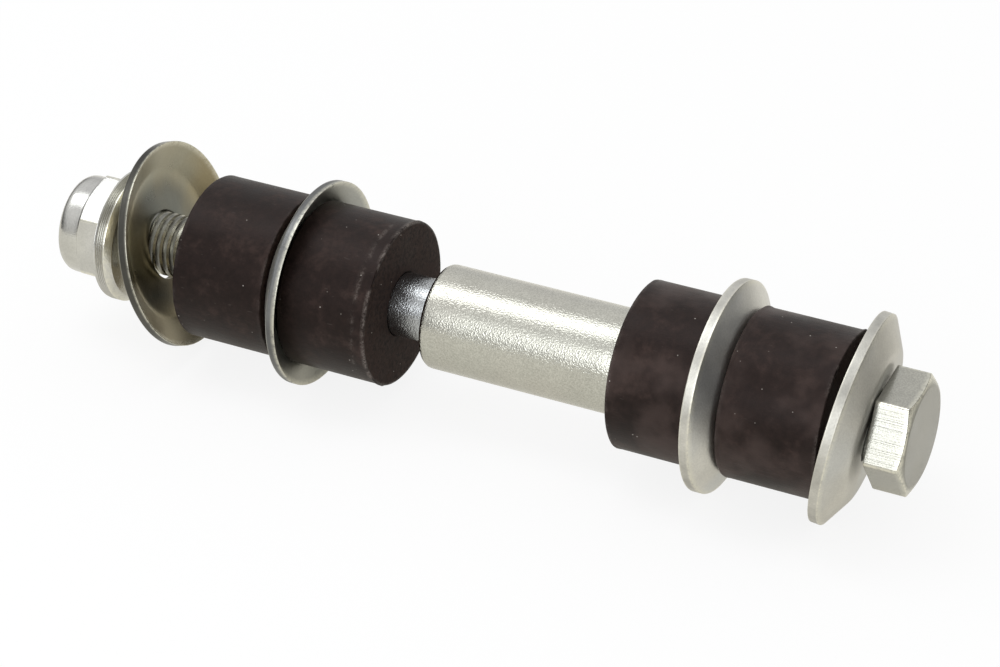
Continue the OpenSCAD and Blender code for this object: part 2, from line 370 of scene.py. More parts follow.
def plated(name, tone, tint, tinted, roughness, grain, cloud, lines, pits=0.0, draw=EVEN_LINES,
           painted_reflection=0.0, zones=(), rim=None, drawn=None):
    """Plated steel. grain is (size, depth) of the crystals and lines the depth of drawn lines, all in mm.

    draw is the lines' stretch along each axis. The amount after draw is how much of the tint is painted on
    the lower side, as a painted reflection rather than a stain. A zone is (tone, measure, start, full): the
    radius or the place along x at which another tone starts and is full. rim is the tone of the rim: a
    sheared rim's own tone, and painted shade where it is very dark. drawn is the places along x between
    which the grain gives way to the lines.
    """
    made, tree, shader, where, edge = start_finish(name)
    cloudy = noise(tree, where, CLOUD_SCALE, 4)
    sparkle = noise(tree, where, 1 / grain[0], 1, 0.6)
    marks = noise(tree, scaled(tree, where, draw), 1.0, 1, 0.6)
    along, radius, height = axial(tree, where)

    colour = shaded(tree, cloudy, tone, cloud)
    for other, measure, start, full in zones:
        here = band(tree, radius if measure == "radius" else along, start, full)
        colour = mix(tree, here, colour, shaded(tree, cloudy, other, ZONE_SPREAD))
    patches = band(tree, noise(tree, where, PATCH_SCALE, 2), *PATCH_BAND)
    # The tint on the lower side is a painted reflection; the random patches are stains.
    lower = times(tree, band(tree, height, *LOWER_SIDE), painted_reflection)
    stains_and_reflection = times(tree, larger(tree, patches, lower), tinted)
    colour = mix(tree, stains_and_reflection, colour, (*tint, 1))
    # A very dark rim tone is painted shade; a light one is the sheared rim's own tone.
    if rim:
        colour = mix(tree, band(tree, radius, *RIM_ZONE), colour, shaded(tree, cloudy, rim, RIM_SPREAD))
    flecks = shaded(tree, sparkle, [FLECK_LEVEL] * 3, FLECKS * grain[1])
    flecks = mix(tree, 1.0, flecks, grey(1 / FLECK_LEVEL), "MULTIPLY")
    colour = mix(tree, 1.0, colour, flecks, "MULTIPLY")
    # Edges turn pale: partly worn plating and partly a painted highlight.
    ragged = band(tree, noise(tree, where, RAGGED_SCALE, 3, 0.7), *RAGGED_BAND)
    rubbed_and_highlit = times(tree, edge, plus(tree, ragged, LEAST_WEAR_AND_HIGHLIGHT, clamp=True))
    colour = mix(tree, times(tree, rubbed_and_highlit, WEAR_AND_HIGHLIGHT), colour, WORN_EDGE_AND_HIGHLIGHT)
    colour = mix(tree, dots(tree, where, PIT_SCALE, PIT_SIZE, pits, channel=0), colour, PIT)
    tree.links.new(colour, shader.inputs["Base Color"])

    shader.inputs["Metallic"].default_value = 1.0
    uneven = plus(tree, times(tree, cloudy, CLOUD_ROUGHNESS), roughness - CLOUD_ROUGHNESS / 2)
    polished = minus(tree, uneven, times(tree, edge, EDGE_POLISH), clamp=True)
    tree.links.new(polished, shader.inputs["Roughness"])

    if drawn:
        share = plus(tree, times(tree, band(tree, along, *drawn), 1 - FAINT), FAINT)
        marks = times(tree, marks, share)
        sparkle = times(tree, sparkle, minus(tree, 1 + FAINT, share))
    fine = bump(tree, sparkle, grain[1])
    tree.links.new(bump(tree, marks, lines, fine), shader.inputs["Normal"])
    return made


# %% [markdown]
# Eight plated finishes
#
# The pieces come from different batches: the washer at the nut is olive, and the tube has a coarse grain.
# Both washers on the head's side are brighter than those at the nut. The two inner washers are one kind of
# washer; the one on the head's side has a brighter tone, which is painted light, and the one at the nut a
# darker tone, which is painted shade. The bolt's shank is grainy too, while its head keeps the lines of the
# die. Each finish is the same recipe with its own tones, roughness and grain.

# %% Mix the plated finishes
LONG_LINES = (0.05, 5.0, 5.0)
SHEAR_LINES = (0.3, 2.6, 2.6)
NECK_FADE = 1.0
FACE_FADE = (0.45, 0.1)
washer_zinc = plated(
    "washer_zinc", tone=(0.57, 0.555, 0.505), tint=(0.49, 0.51, 0.52), tinted=0.45, roughness=0.42,
    grain=(0.30, 0.020), cloud=0.11, lines=0.008, pits=0.05, draw=SHEAR_LINES, rim=(0.50, 0.49, 0.45))
# The head's inner washer: the same washer as the nut's inner one in a brighter tone, which is painted light.
bright_zinc = plated(
    "bright_zinc", tone=(0.70, 0.69, 0.645), tint=(0.58, 0.61, 0.64), tinted=0.45, roughness=0.40,
    grain=(0.30, 0.020), cloud=0.10, lines=0.008, pits=0.05, draw=SHEAR_LINES, rim=(0.52, 0.51, 0.47))
# The nut's inner washer: the same washer as the head's inner one in a darker tone, which is painted shade; its
# near-black rim is painted shade too.
pair_zinc = plated(
    "pair_zinc", tone=(0.43, 0.425, 0.375), tint=(0.40, 0.42, 0.43), tinted=0.40, roughness=0.40,
    grain=(0.30, 0.020), cloud=0.12, lines=0.014, pits=0.02, draw=SHEAR_LINES, rim=(0.15, 0.152, 0.152))
# The washer at the nut: its tint on the lower side is a painted reflection, its near-black rim is painted
# shade, and its darker tone towards the floor of the cup is painted shade.
olive_zinc = plated(
    "olive_zinc", tone=(0.32, 0.305, 0.235), tint=(0.31, 0.225, 0.085), tinted=0.48, roughness=0.30,
    grain=(0.30, 0.014), cloud=0.12, lines=0.008, painted_reflection=0.8, rim=(0.080, 0.078, 0.070),
    zones=[((0.165, 0.170, 0.150), "radius", 12.5, 8.5)])
spacer_zinc = plated(
    "spacer_zinc", tone=(0.485, 0.475, 0.425), tint=(0.46, 0.47, 0.42), tinted=0.4, roughness=0.14,
    grain=(0.25, 0.056), cloud=0.05, lines=0.003)
nut_zinc = plated(
    "nut_zinc", tone=(0.55, 0.545, 0.505), tint=(0.46, 0.46, 0.50), tinted=0.30, roughness=0.22,
    grain=(0.28, 0.018), cloud=0.14, lines=0.010, pits=0.02)
# The last zone, a darker tone on the head's end face, is painted shade.
bolt_zinc = plated(
    "bolt_zinc", tone=(0.37, 0.365, 0.325), tint=(0.36, 0.37, 0.36), tinted=0.35, roughness=0.22,
    grain=(0.25, 0.046), cloud=0.07, lines=0.030, pits=0.03, draw=LONG_LINES,
    drawn=(HEAD_SEAT - NECK_FADE, HEAD_SEAT),
    zones=[((0.46, 0.475, 0.485), "along", HEAD_SEAT, HEAD_SEAT - NECK_FADE),
           ((0.225, 0.220, 0.190), "along", HEAD_END - FACE_FADE[0], HEAD_END - FACE_FADE[1])])
thread_zinc = plated(
    "thread_zinc", tone=(0.38, 0.38, 0.35), tint=(0.36, 0.345, 0.29), tinted=0.4, roughness=0.32,
    grain=(0.24, 0.006), cloud=0.08, lines=0.004)

# %% [markdown]
# Rubber
#
# Moulded rubber is nearly black with a brown cast. It has a soft sheen, pale dust specks, short scuffs, a
# chalky line where its edges rub, and matt end faces that hold dust. On the head's side a paler coat is
# painted on in patches: partly dust and partly a painted sheen. A flat dark colour would look like paint, so
# the colour is built up in layers, each with its own mask, and the roughness varies with them.

# %% Rubber finish
DARK_RUBBER = (0.0050, 0.0027, 0.0022)
RUBBER = (0.0090, 0.0051, 0.0042)
PALE_RUBBER = (0.025, 0.0155, 0.0130)
SHEEN_TINT = (1.0, 0.80, 0.76, 1.0)
DUST_AND_SHEEN_FILM = (0.060, 0.042, 0.037, 1.0)
FACE_DUST = (0.032, 0.0190, 0.0145, 1.0)
SCUFF = (0.075, 0.060, 0.053, 1.0)
SCRATCH = (0.16, 0.14, 0.125, 1.0)
CHALK = (0.19, 0.165, 0.148, 1.0)
SPECK = (0.45, 0.42, 0.38, 1.0)
SCUFF_STRETCH = (0.35, 1.6, 1.6)
SCRATCH_TURN = (0.5, 0.3, 0.4)
SCRATCH_STRETCH = (0.5, 2.4, 2.4)
FACE_ZONE = (12.9, 12.5)
SPECK_SIZE = (0.05, 0.12)
PEBBLE_DEPTH, SCUFF_DEPTH = 0.012, 0.04
LEAST_ROUGH, MOTTLED_ROUGH, FACE_ROUGH = 0.30, 0.30, 0.30


def moulded_rubber(name, dust_and_sheen):
    """Rubber; the second argument is how much of a paler patchy coat it has: dust and a painted sheen."""
    made, tree, shader, where, edge = start_finish(name)
    mottled = noise(tree, where, 0.20, 5, 0.6)
    scuffs = noise(tree, scaled(tree, where, SCUFF_STRETCH), 0.9, 5, 0.75)
    slant = add(tree, "ShaderNodeMapping",
                {"Vector": where, "Rotation": SCRATCH_TURN, "Scale": SCRATCH_STRETCH}).outputs[0]
    face = band(tree, axial(tree, where)[1], *FACE_ZONE)

    # Paler patches on the head's side: partly dust and partly a painted sheen.
    dust_and_sheen_patches = band(tree, noise(tree, where, 0.11, 3), 0.42, 0.66)
    dusted = band(tree, scuffs, 0.34, 0.62)
    patchy = band(tree, noise(tree, where, 0.09, 2), 0.52, 0.68)
    scuffed = times(tree, band(tree, scuffs, 0.58, 0.74), patchy)
    scratched = band(tree, noise(tree, slant, 1.0, 1), 0.765, 0.785)
    chalky = times(tree, band(tree, noise(tree, where, 0.42, 4, 0.65), 0.42, 0.62),
                   band(tree, noise(tree, where, 3.5, 2), 0.25, 0.65))
    specks = dots(tree, where, 0.9, SPECK_SIZE, 0.15, channel=1)
    layers = [
        (dust_and_sheen_patches, dust_and_sheen, DUST_AND_SHEEN_FILM),
        (times(tree, face, dusted), 1.0, FACE_DUST),
        (scuffed, 0.45, SCUFF),
        (scratched, 0.12, SCRATCH),
        (times(tree, edge, chalky), 1.0, CHALK),
        (specks, 0.8, SPECK),
    ]
    colour = ramp(tree, mottled, (0.32, DARK_RUBBER), (0.52, RUBBER), (0.74, PALE_RUBBER))
    blotched = ramp(tree, noise(tree, where, 0.8, 3, 0.65), (0.34, grey(0.68)), (0.66, grey(1.32)))
    colour = mix(tree, 1.0, colour, blotched, "MULTIPLY")
    for mask, amount, layer in layers:
        colour = mix(tree, times(tree, mask, amount), colour, layer)
    tree.links.new(colour, shader.inputs["Base Color"])

    uneven = plus(tree, times(tree, mottled, MOTTLED_ROUGH), LEAST_ROUGH)
    matt = plus(tree, uneven, times(tree, face, FACE_ROUGH), clamp=True)
    tree.links.new(matt, shader.inputs["Roughness"])
    shader.inputs["Specular IOR Level"].default_value = 0.21
    shader.inputs["Specular Tint"].default_value = SHEEN_TINT
    pebbled = bump(tree, noise(tree, where, 5.0, 3, 0.6), PEBBLE_DEPTH)
    tree.links.new(bump(tree, scuffs, SCUFF_DEPTH, pebbled), shader.inputs["Normal"])
    return made


black_rubber = moulded_rubber("black_rubber", dust_and_sheen=0.0)
rubber_dust_and_sheen = moulded_rubber("rubber_dust_and_sheen", dust_and_sheen=0.6)

# %% [markdown]
# Nylon
#
# The ring that locks the nut is natural nylon: milky, a little yellow and smooth, and paler where the
# thread has rubbed its edge. It is hidden until the nut runs off the bolt, so a simple recipe is enough.

# %% Nylon finish
NYLON = (0.66, 0.65, 0.57)
PALE_NYLON = (0.76, 0.75, 0.68)
RUBBED_NYLON = (0.82, 0.82, 0.77, 1.0)


def milky_nylon(name):
    """Nylon with soft clouds and a paler worn edge."""
    made, tree, shader, where, edge = start_finish(name)
    cloudy = noise(tree, where, 0.5, 3)
    colour = ramp(tree, cloudy, (0.3, NYLON), (0.7, PALE_NYLON))
    colour = mix(tree, times(tree, edge, 0.4), colour, RUBBED_NYLON)
    tree.links.new(colour, shader.inputs["Base Color"])
    tree.links.new(plus(tree, times(tree, cloudy, 0.2), 0.32), shader.inputs["Roughness"])
    tree.links.new(bump(tree, noise(tree, where, 3.0), 0.01), shader.inputs["Normal"])
    return made


nylon = milky_nylon("milky_nylon")

# %% [markdown]
# Edge value
#
# Wear follows edges. Blender's pointiness finds them, but it depends on how finely a mesh is divided. On a
# turned piece the edges are corners of its outline, so the value falls off with the distance from them.

# %% Measure the distance to worn corners


def near_corners(points, corners, reach):
    """1 at the given (x, radius) corners of a turned piece, falling to 0 at reach millimetres."""
    x = points[..., 0]
    r = np.hypot(points[..., 1], points[..., 2])
    gap = np.min([np.hypot(x - cx, r - cr) for cx, cr in corners], axis=0)
    return np.clip(1 - gap / reach, 0, 1)


# %% [markdown]
# Hexagons
#
# The head and the nut are hexagons with slightly rounded corners. A bevel modifier could round them, but
# here the outline at each angle is wanted. The distance from the axis to the skin blends the six flats:
# a high power keeps the flats flat and rounds only the corners.

# %% Reach of a hexagon
CORNER_POWER = 90
CORNER_START = 0.985
HEX_SIDES = 288


def hex_reach(angle, flats, turn_deg):
    """Distance from the axis to the skin of a hexagon whose first corner is at turn_deg."""
    near = [math.cos(angle - math.radians(turn_deg + 30 + 60 * k)) for k in range(6)]
    total = sum(max(c, 0) ** CORNER_POWER for c in near)
    return flats / 2 / total ** (1 / CORNER_POWER)


def hex_corners(angles, flats, turn_deg):
    """Distance to the skin at each angle, and a value that is 1 on the six corners and 0 on the flats."""
    reach = np.array([hex_reach(a, flats, turn_deg) for a in angles])
    return reach, np.clip((reach / reach.max() - CORNER_START) / (1 - CORNER_START), 0, 1)


# %% [markdown]
# Bolt
#
# The bolt is one forging: a hexagon head on a low round face, and a plain shank. The thread is rolled on
# the other end, and it is a piece of its own below, because a thread follows a helix and not a circle.

# %% Head and shank
HEAD_AF = 16.2
HEAD_TURN = 6
HEAD_FACE_R = 7.5
HEAD_FACE_H = 0.25
HEAD_CHAMFER = math.tan(math.radians(20))
THREAD_LEN = 32.0
SHANK_START = BOLT_TIP + THREAD_LEN
TOP_WEAR = 0.25
FLAT_FROM, TOP_FROM = 0.97, 0.985


def crown(radius):
    """Place of the head's top along the bolt: flat in the middle, chamfered towards the corners."""
    return HEAD_END - (radius - HEAD_FACE_R) * HEAD_CHAMFER


def bolt_outline(angle):
    """Outline of the bolt from the start of its shank to the top of its head."""
    skin_r = hex_reach(angle, HEAD_AF, HEAD_TURN)
    hex_x = HEAD_SEAT + HEAD_FACE_H
    return [
        Corner(SHANK_START, 0),
        Corner(SHANK_START, SHANK_R, cuts=12),
        Corner(HEAD_SEAT, SHANK_R, arc=0.6),
        Corner(HEAD_SEAT, HEAD_FACE_R, arc=0.1),
        Corner(hex_x, HEAD_FACE_R),
        Corner(hex_x, skin_r, arc=0.15, cuts=6),
        Corner(crown(skin_r), skin_r, arc=0.14),
        Corner(HEAD_END, HEAD_FACE_R, arc=0.8, cuts=3),
        Corner(HEAD_END, 0),
    ]


points, angles = rings(bolt_outline, HEX_SIDES)
radius = np.hypot(points[..., 1], points[..., 2])
reach, ridge = hex_corners(angles, HEAD_AF, HEAD_TURN)
top_edge = np.clip(1 - np.abs(points[..., 0] - crown(radius)) / TOP_WEAR, 0, 1)
on_head = points[..., 0] > HEAD_SEAT
edge = on_head * np.maximum(ridge * (radius > FLAT_FROM * reach), top_edge * (radius > TOP_FROM * reach))
register(skin("bolt", points, edge, closed=False), bolt_zinc, "bolt", "hex_bolt")

# %% [markdown]
# Thread
#
# A thread repeats one profile along a helix, which is work for Geometry Nodes. A flat grid is the start:
# its width runs along the bolt and its height once round it. Every point is then moved. Shearing the grid
# by one pitch for each turn makes its lines follow the helix, so the crests stay clean. Two discs close
# the ends, and merging by distance sews the seams.

# %% Thread as a node tree
THREAD_INPUTS = {
    "Start": 0.0, "Length": 0.032, "Pitch": 0.00125, "Crest radius": 0.005,
    "Depth": 0.00042, "Tip radius": 0.0039, "Run-out": 0.002,
}
GROOVE = (0.40, 0.94)
SEW = 2e-6


def named_inputs(tree):
    """Gives the tree its inputs and its output, and returns the inputs' sockets by name."""
    face = tree.interface
    for label, value in THREAD_INPUTS.items():
        face.new_socket(label, in_out="INPUT", socket_type="NodeSocketFloat").default_value = value
    for label, value in (("Steps", 2), ("Sides", 3)):
        face.new_socket(label, in_out="INPUT", socket_type="NodeSocketInt").default_value = value
    face.new_socket("Finish", in_out="INPUT", socket_type="NodeSocketMaterial")
    face.new_socket("Geometry", in_out="OUTPUT", socket_type="NodeSocketGeometry")
    return tree.nodes.new("NodeGroupInput").outputs


def position(tree):
    """The x, y and z of the points before they are moved."""
    spot = add(tree, "GeometryNodeInputPosition").outputs[0]
    return add(tree, "ShaderNodeSeparateXYZ", {0: spot}).outputs


def moved(tree, geometry, x, y, z):
    """Geometry with its points set to new places."""
    spot = add(tree, "ShaderNodeCombineXYZ", {0: x, 1: y, 2: z}).outputs[0]
    return add(tree, "GeometryNodeSetPosition", {"Geometry": geometry, "Position": spot}).outputs[0]


def thread_tree(name):
    """Node group that makes a closed threaded rod along X; its inputs are named sizes in metres."""
    tree = bpy.data.node_groups.new(name, "GeometryNodeTree")
    size = named_inputs(tree)

    def calc(operation, a, b=0.0, clamp=False):
        return math_node(tree, operation, a, b, clamp)

    whole = plus(tree, size["Length"], size["Pitch"])
    grid = add(tree, "GeometryNodeMeshGrid", {
        "Size X": whole, "Size Y": 2 * math.pi,
        "Vertices X": size["Steps"], "Vertices Y": plus(tree, size["Sides"], 1)}).outputs["Mesh"]
    flat = position(tree)
    along = minus(tree, plus(tree, flat[0], calc("DIVIDE", whole, 2)), size["Pitch"])
    turn = plus(tree, flat[1], math.pi)
    climb = times(tree, size["Pitch"], calc("DIVIDE", turn, 2 * math.pi))
    place = calc("MINIMUM", calc("MAXIMUM", plus(tree, along, climb), 0), size["Length"])
    phase = calc("FRACT", calc("DIVIDE", along, size["Pitch"]))
    valley = calc("ABSOLUTE", minus(tree, times(tree, phase, 2), 1))
    groove = add(tree, "ShaderNodeMapRange", {0: valley, 1: GROOVE[0], 2: GROOVE[1]}).outputs[0]
    fade = calc("DIVIDE", minus(tree, size["Length"], place), size["Run-out"], clamp=True)
    sunk = times(tree, times(tree, groove, fade), size["Depth"])
    tip = plus(tree, size["Tip radius"], place)
    radius = calc("MINIMUM", minus(tree, size["Crest radius"], sunk), tip)
    across = times(tree, radius, calc("COSINE", turn))
    height = times(tree, radius, calc("SINE", turn))
    parts = [moved(tree, grid, plus(tree, size["Start"], place), across, height)]
    ends = ((size["Tip radius"], size["Start"]),
            (size["Crest radius"], plus(tree, size["Start"], size["Length"])))
    for reach, x in ends:
        disc = add(tree, "GeometryNodeMeshCircle", {"Vertices": size["Sides"], "Radius": reach},
                   fill_type="TRIANGLE_FAN").outputs[0]
        lying = position(tree)
        parts.append(moved(tree, disc, x, lying[0], lying[1]))
    joined = tree.nodes.new("GeometryNodeJoinGeometry")
    for part in parts:
        tree.links.new(part, joined.inputs[0])
    sewn = add(tree, "GeometryNodeMergeByDistance", {"Geometry": joined.outputs[0], "Distance": SEW})
    real = add(tree, "GeometryNodeRealizeInstances", {0: sewn.outputs[0]})
    done = add(tree, "GeometryNodeSetMaterial", {"Geometry": real.outputs[0], "Material": size["Finish"]})
    add(tree, "NodeGroupOutput", {"Geometry": done.outputs[0]})
    return tree


# %% [markdown]
# The rolled end
#
# This is an M10 thread with a fine pitch of 1.25 mm. The node tree only describes a thread. To become a
# piece it is put on an empty mesh with real sizes, and its result is kept as a plain mesh, so that no
# modifier is left to slow the scene or to fail in the export.

# %% Roll the thread on the bolt
PITCH = 1.25
STEPS_PER_PITCH = 10
THREAD_SIDES = 96
CREST_WEAR = 0.2


def grown(name, tree, values):
    """Plain mesh that a node tree makes from the given inputs."""
    holder = bpy.data.objects.new(name + "_holder", bpy.data.meshes.new(name + "_seed"))
    scene.collection.objects.link(holder)
    modifier = holder.modifiers.new("grow", "NODES")
    modifier.node_group = tree
    for item in tree.interface.items_tree:
        if item.in_out == "INPUT" and item.name in values:
            modifier[item.identifier] = values[item.name]
    seen = holder.evaluated_get(bpy.context.evaluated_depsgraph_get())
    mesh = bpy.data.meshes.new_from_object(seen)
    bpy.data.objects.remove(holder)
    mesh.name = name
    finish_mesh(mesh)
    return mesh


def tag_turned(mesh, crest):
    """Gives a grown mesh the two attributes that the finishes read; edge is 1 on thread crests."""
    places = np.zeros(len(mesh.vertices) * 3, np.float32)
    mesh.vertices.foreach_get("co", places)
    mesh.attributes.new("turned", "FLOAT_VECTOR", "POINT").data.foreach_set("vector", places)
    spots = places.reshape(-1, 3)
    out = np.hypot(spots[:, 1], spots[:, 2]) / MM
    worn = np.clip(1 - (crest - out) / CREST_WEAR, 0, 1)
    mesh.attributes.new("edge", "FLOAT", "POINT").data.foreach_set("value", worn)


thread_steps = round((THREAD_LEN + PITCH) / PITCH * STEPS_PER_PITCH) + 1
thread_mesh = grown("bolt_thread", thread_tree("rolled_thread"), {
    "Start": BOLT_TIP * MM, "Length": THREAD_LEN * MM, "Pitch": PITCH * MM, "Crest radius": SHANK_R * MM,
    "Steps": thread_steps, "Sides": THREAD_SIDES, "Finish": thread_zinc})
tag_turned(thread_mesh, SHANK_R)
register(thread_mesh, thread_zinc, "bolt")

# %% [markdown]
# Lock nut
#
# The nut has a flange with a ridged rim, a hexagon, and a collar that is rolled in over the nylon ring.
# Its outline changes with the angle only at the hexagon, so rings serve it as they serve the bolt. Its
# bore is drawn just clear of the thread's crests, so nothing touches when the nut travels.

# %% Nut
NUT_AF = 16.0
NUT_TURN = 24
NUT_CHAMFER = math.tan(math.radians(30))
NUT_H = NUT_SEAT - NUT_END
NUT_HEX_H = 7.6
FLANGE_R = 10.6
FLANGE_BEVEL = 0.95
FLANGE_EDGE = 1.95
FLANGE_TOP = FLANGE_BEVEL + FLANGE_EDGE
FLANGE_BREAK = 0.03
FLANGE_RISE = 0.18
RIDGES = 5
RIDGE_DEPTH = 0.22
RIDGE_MARGIN = 0.12
COLLAR_R = 7.9
COLLAR_ROUND = 2.2
COLLAR_STEP = 0.1
POCKET_R = 6.25
POCKET_LOW, POCKET_HIGH = 8.7, 10.8
BORE_CLEAR = 0.05
BORE_R = SHANK_R + BORE_CLEAR
SKIN_GAP = 0.05


def flange_ridges():
    """Corners of the ridges round the flange's edge."""
    run = FLANGE_EDGE - 2 * RIDGE_MARGIN
    ridged = []
    for k in range(RIDGES):
        low = FLANGE_BEVEL + RIDGE_MARGIN + run * k / RIDGES
        high = low + run / RIDGES / 2
        ridged += [Corner(low, FLANGE_R), Corner(high, FLANGE_R - RIDGE_DEPTH)]
    return ridged


def nut_outline(angle):
    """Outline of the nut from its seat outwards; heights are turned into places along the bolt."""
    skin_r = hex_reach(angle, NUT_AF, NUT_TURN)
    shoulder = NUT_HEX_H - (skin_r - COLLAR_R) * NUT_CHAMFER
    heights = [
        Corner(0, BORE_R, arc=0.3),
        Corner(0, FLANGE_R - FLANGE_BEVEL, arc=0.2),
        Corner(FLANGE_BEVEL, FLANGE_R - FLANGE_BREAK, arc=0.12),
        *flange_ridges(),
        Corner(FLANGE_TOP, FLANGE_R, arc=0.25, cuts=2),
        Corner(FLANGE_TOP + FLANGE_RISE, skin_r, arc=0.3, cuts=6),
        Corner(shoulder, skin_r, arc=0.2),
        Corner(NUT_HEX_H + COLLAR_STEP, COLLAR_R, arc=0.25, cuts=3),
        Corner(NUT_H, COLLAR_R, arc=COLLAR_ROUND, cuts=2),
        Corner(NUT_H, BORE_R, arc=0.2),
        Corner(POCKET_HIGH, BORE_R),
        Corner(POCKET_HIGH, POCKET_R),
        Corner(POCKET_LOW, POCKET_R),
        Corner(POCKET_LOW, BORE_R),
    ]
    return [corner._replace(x=NUT_SEAT - corner.x) for corner in heights]


points, angles = rings(nut_outline, HEX_SIDES)
radius = np.hypot(points[..., 1], points[..., 2])
reach, ridge = hex_corners(angles, NUT_AF, NUT_TURN)
on_hexagon = (np.abs(radius - reach) < SKIN_GAP) * (NUT_SEAT - points[..., 0] > FLANGE_TOP)
flange_wear = near_corners(points, [(NUT_SEAT - FLANGE_BEVEL, FLANGE_R)], reach=0.3)
edge = np.maximum(ridge * on_hexagon, flange_wear)
register(skin("lock_nut_body", points, edge, closed=True), nut_zinc, "nut", "lock_nut")

# %% [markdown]
# Nylon ring
#
# The ring fills the pocket in the nut's collar, and the thread has to force its way through it. That is
# what locks the nut. So its bore is smaller than the thread's crests, and the thread bites into it.

# %% Ring
RING_BORE_R = 4.66
RING_CLEAR = 0.05
RING_END_CLEAR = 0.02


def ring_outline(angle):
    """Outline of the ring, which is the same at every angle."""
    outer = POCKET_R - RING_CLEAR
    high, low = NUT_SEAT - POCKET_LOW - RING_END_CLEAR, NUT_SEAT - POCKET_HIGH + RING_END_CLEAR
    return [
        Corner(low, RING_BORE_R, arc=0.25),
        Corner(low, outer, arc=0.2),
        Corner(high, outer, arc=0.2),
        Corner(high, RING_BORE_R, arc=0.25),
    ]


points, _ = rings(ring_outline, sides=128)
edge = near_corners(points, [(NUT_SEAT - POCKET_HIGH, RING_BORE_R)], reach=0.4)
register(skin("nylon_ring", points, edge, closed=True), nylon, "nut", "nylon_insert")

# %% [markdown]
# Cupped washers
#
# Each washer is stamped from sheet: a flat floor, a bend, and a flare out to the rim. The die rolls one
# edge of the rim over and leaves the other crisp. No stamped rim is quite true, so it waves by a few
# hundredths of a millimetre, which breaks up the reflections.

# %% Shape of a washer
RIM_R = 16.25
HOLE_R = 5.5
SHEET = 1.5
FLOOR_R = 11.6
CUP_DEPTH = 2.7
BEND_R = 3.0
WAVE = 0.035


def washer_outline(angle, seed, rolled):
    """Outline of a cup open towards +X, its floor at 0; rolled is the arc on the back edge of the rim."""
    wave = WAVE * math.sin(2 * angle + seed) + WAVE * 0.5 * math.sin(5 * angle + 3 * seed)
    return [
        Corner(0, HOLE_R, arc=0.12, cuts=4),
        Corner(0, FLOOR_R, arc=BEND_R, cuts=4),
        Corner(CUP_DEPTH + wave, RIM_R, arc=0.10, cuts=6),
        Corner(CUP_DEPTH - SHEET + wave, RIM_R, arc=rolled, cuts=4),
        Corner(-SHEET, FLOOR_R, arc=BEND_R, cuts=4),
        Corner(-SHEET, HOLE_R, arc=0.3, cuts=1),
    ]


def washer(name, body, node, finish, place, seed, rolled, worn):
    """worn is how far the polish and the painted highlight reach from the inner and from the back edge of the
    rim.
    """
    points, _ = rings(lambda angle: washer_outline(angle, seed, rolled), sides=192)
    edge = np.maximum(near_corners(points, [(CUP_DEPTH, RIM_R)], worn[0]),
                      near_corners(points, [(CUP_DEPTH - SHEET, RIM_R)], worn[1]))
    register(skin(name, points, edge, closed=True, place=place), finish, body, node)


# %% [markdown]
# Places of the washers
#
# The two inner washers sit square on the bolt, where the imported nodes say. The outer ones are loose, so they
# lean on the nut and on the head. Their place follows from the lean and the edge they touch, as in the
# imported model, and the lean goes into the mesh.

# %% Stamp four washers
NUT_LEAN, NUT_AIM = 15.4, 15.6
HEAD_LEAN, HEAD_AIM = 8.4, 18.0
HEAD_CORNER_R = HEAD_AF / 2 / math.cos(math.radians(30))
DROP = 0.1
TOUCH = 0.1


def at(x, z=0.0):
    """Shift along the bolt and upwards, in millimetres."""
    return Matrix.Translation((x * MM, 0, z * MM))


def tilt(degrees, axis):
    """Turn about one axis."""
    return Matrix.Rotation(math.radians(degrees), 4, axis)


def leaning(lean, seat_r, outer_r, step):
    """Distance from a seat to a leaning cup's floor; it touches the seat or the outer edge a step behind."""
    slope = math.radians(lean)
    contact = max(seat_r * math.tan(slope), outer_r * math.tan(slope) - step)
    return contact + DROP * math.tan(slope) + (SHEET + TOUCH) / math.cos(slope)


FLIP = tilt(180, "Z")
nut_washer_x = NUT_SEAT + leaning(NUT_LEAN, FLANGE_R - FLANGE_BEVEL, FLANGE_R, FLANGE_BEVEL)
head_washer_x = HEAD_SEAT - leaning(HEAD_LEAN, HEAD_FACE_R, HEAD_CORNER_R, HEAD_FACE_H)
nut_inner_x = span("nut_side_inner_washer")[0] + SHEET
head_inner_x = span("head_side_inner_washer")[1] - SHEET
nut_leaned = at(nut_washer_x, z=-DROP) @ tilt(-NUT_AIM, "X") @ tilt(-NUT_LEAN, "Y")
head_leaned = at(head_washer_x, z=-DROP) @ tilt(HEAD_AIM, "X") @ tilt(HEAD_LEAN, "Y") @ FLIP
washer("washer_at_nut", "nut_washer", "nut_side_outer_washer", olive_zinc,
       nut_leaned, seed=0.7, rolled=0.28, worn=(0.42, 0.10))
washer("washer_nut_pair", "nut_side_pack", "nut_side_inner_washer", pair_zinc,
       at(nut_inner_x), seed=2.1, rolled=0.6, worn=(0.75, 0.10))
washer("washer_head_pair", "bolt", "head_side_inner_washer", bright_zinc,
       at(head_inner_x) @ FLIP, seed=3.9, rolled=0.14, worn=(0.35, 0.35))
washer("washer_at_head", "head_washer", "head_side_outer_washer", washer_zinc,
       head_leaned, seed=5.2, rolled=0.14, worn=(0.22, 0.22))
print(f"leaning washers at {nut_washer_x:.3f} and {head_washer_x:.3f} mm")

# %% [markdown]
# Moulding flash
#
# Where the halves of a mould meet, a little rubber squeezes out and sets as a thin ragged lip, called
# flash, with a nub here and there. A bump in the material would not show at the outline, so the lip is real
# geometry: an outline's end corners move out by a random height, from a fixed seed, that changes round it.

# %% Height of the flash
FLASH_BASE, FLASH_SLOW, FLASH_QUICK = 0.4, 1.6, 0.12


